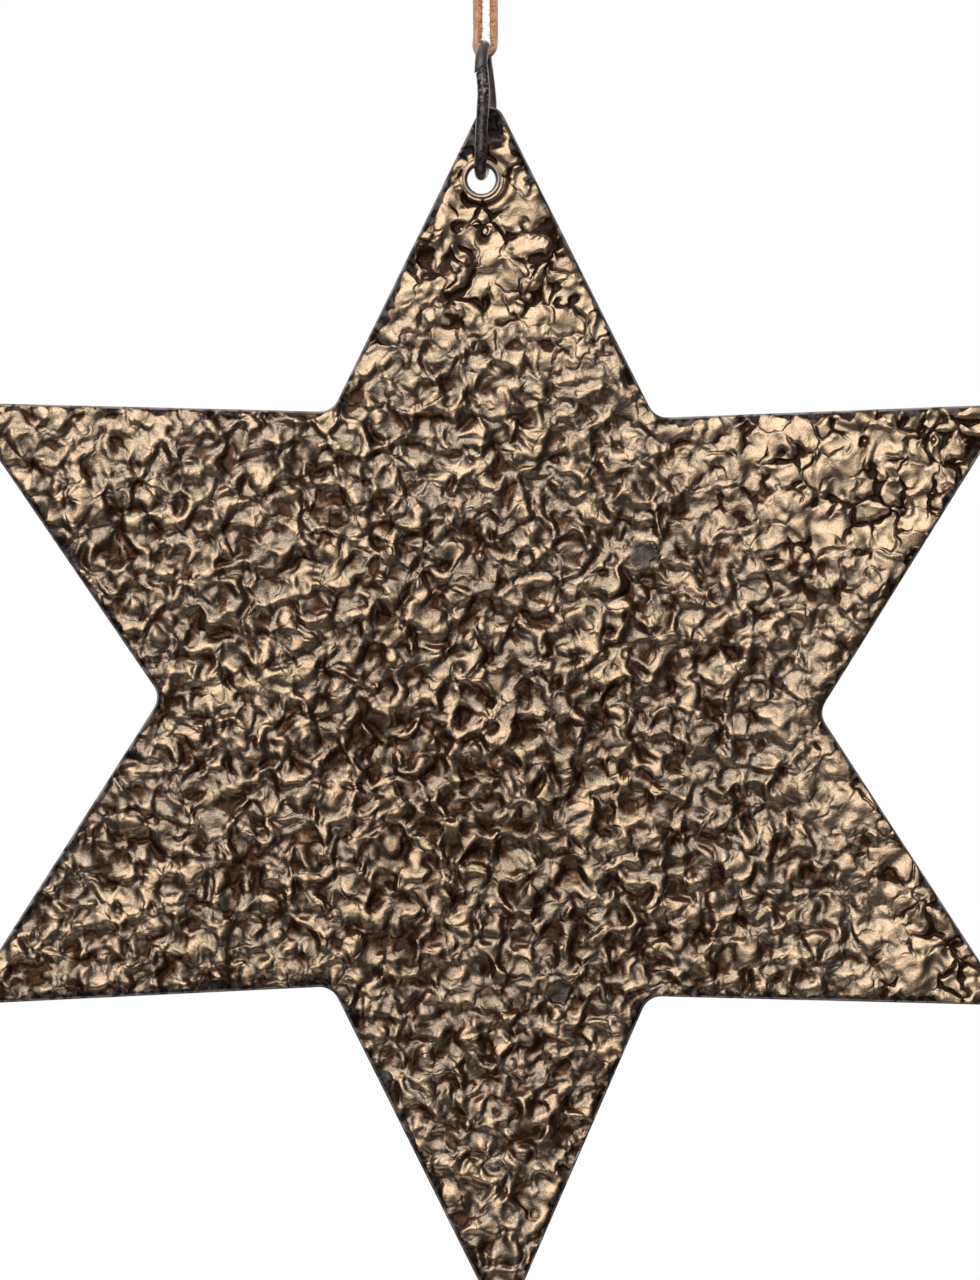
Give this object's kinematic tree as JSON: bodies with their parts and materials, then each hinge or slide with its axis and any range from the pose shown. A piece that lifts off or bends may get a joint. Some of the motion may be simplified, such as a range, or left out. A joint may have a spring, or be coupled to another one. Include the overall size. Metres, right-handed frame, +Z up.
{
  "type": "star ornament",
  "caption": "Hanging star of crinkled cast metal plate on an oval wire link and a knotted leather lace.",
  "frame": {"origin": "middle of the nail or hook that holds the lace, just under its knot", "axes": "+Z up, along which the star hangs down; +Y away from the viewer, square to the star's faces; +X to the viewer's right"},
  "size_m": [0.205, 0.012, 0.3088],
  "materials": {
    "antique_bronze": "crinkled cast relief under an antique bronze patina: tan-gold on the high places, near-black brown in the hollows, satin",
    "dark_wire": "dark brown-black iron wire, dented by the pliers, semi-gloss",
    "tan_leather": "smooth tan grain side, fuzzy suede edges"
  },
  "bodies": {
    "lace": {"leather_lace": "tan_leather", "lace_knot": "tan_leather"},
    "link": {"wire_link": "dark_wire"},
    "star": {"star_plate": "antique_bronze"}
  },
  "joints": [
    {"name": "link_swing", "type": "hinge", "parent": "lace", "child": "link", "pos_m": [0, 0, -0.0396], "axis": [0.9945, -0.1045, 0], "range_deg": [-80, 80]},
    {"name": "star_swing", "type": "hinge", "parent": "link", "child": "star", "pos_m": [-0.0006, 0, -0.06155], "axis": [0, 1, 0], "range_deg": [-115, 115]}
  ]
}
